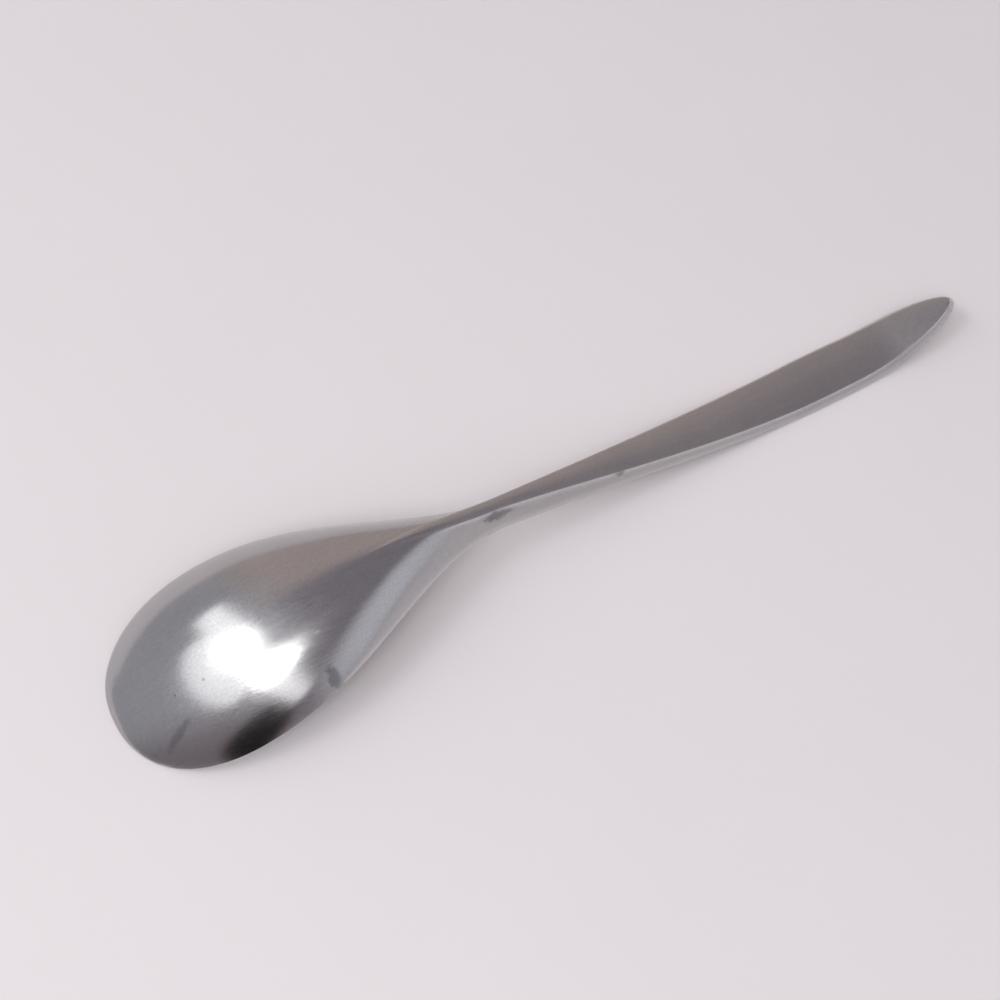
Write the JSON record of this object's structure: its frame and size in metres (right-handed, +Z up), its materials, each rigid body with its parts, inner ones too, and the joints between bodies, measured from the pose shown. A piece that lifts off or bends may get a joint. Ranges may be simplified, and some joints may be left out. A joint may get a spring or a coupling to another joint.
{
  "type": "place spoon",
  "caption": "Place spoon with an egg-shaped bowl, a slender ridged neck and a bevelled handle that widens to a leaf-shaped end, stored lying face down on its rim and handle.",
  "frame": {"origin": "on the table under the middle of the spoon's length, as it lies face down", "axes": "+X from the bowl to the end of the handle, +Z up through the back of the bowl"},
  "size_m": [0.175, 0.0362, 0.0181],
  "materials": {
    "bowl_steel": "worn polish with fine scratches",
    "neck_steel": "satin polish along the neck",
    "handle_steel": "satin polish along the handle"
  },
  "bodies": {
    "root": {"bowl": "bowl_steel", "neck": "neck_steel", "handle": "handle_steel"}
  },
  "joints": []
}
